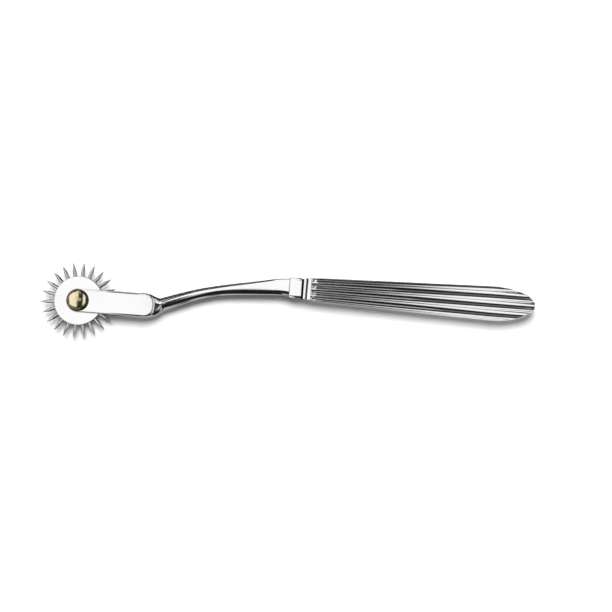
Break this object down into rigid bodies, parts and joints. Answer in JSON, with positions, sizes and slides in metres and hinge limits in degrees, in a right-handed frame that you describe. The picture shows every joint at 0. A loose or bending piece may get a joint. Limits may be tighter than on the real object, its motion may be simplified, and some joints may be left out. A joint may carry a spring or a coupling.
{
  "type": "sensory pinwheel",
  "caption": "Neurological pinwheel: a wheel of sharp pins that spins in a fork, on a curved shank with a flat reeded handle.",
  "frame": {"origin": "on the wheel's axle, on the plane that the instrument lies on: the flush end of the axle rivet in the rear arm", "axes": "+X from the wheel to the end of the handle, +Z along the axle towards the domed head, +Y towards the side that the shank bends to"},
  "size_m": [0.1846, 0.0316, 0.0081],
  "materials": {
    "chrome": "polished chrome plate with fine handling marks",
    "brass": "turned and polished pale brass",
    "pin_steel": "ground and plated steel"
  },
  "bodies": {
    "frame": {"fork_and_shank": "chrome", "ferrule": "chrome", "handle_front_shell": "chrome", "handle_rear_shell": "chrome", "axle_rivet": "brass", "rear_washer": "brass", "front_washer": "brass"},
    "wheel": {"wheel_disc": "chrome", "pin_01": "pin_steel", "pin_02": "pin_steel", "pin_03": "pin_steel", "pin_04": "pin_steel", "pin_05": "pin_steel", "pin_06": "pin_steel", "pin_07": "pin_steel", "pin_08": "pin_steel", "pin_09": "pin_steel", "pin_10": "pin_steel", "pin_11": "pin_steel", "pin_12": "pin_steel", "pin_13": "pin_steel", "pin_14": "pin_steel", "pin_15": "pin_steel", "pin_16": "pin_steel", "pin_17": "pin_steel", "pin_18": "pin_steel", "pin_19": "pin_steel", "pin_20": "pin_steel", "pin_21": "pin_steel", "pin_22": "pin_steel"}
  },
  "joints": [
    {"name": "wheel_spin", "type": "hinge", "parent": "frame", "child": "wheel", "pos_m": [0, 0, 0.0027], "axis": [0, 0, 1], "continuous": true}
  ]
}
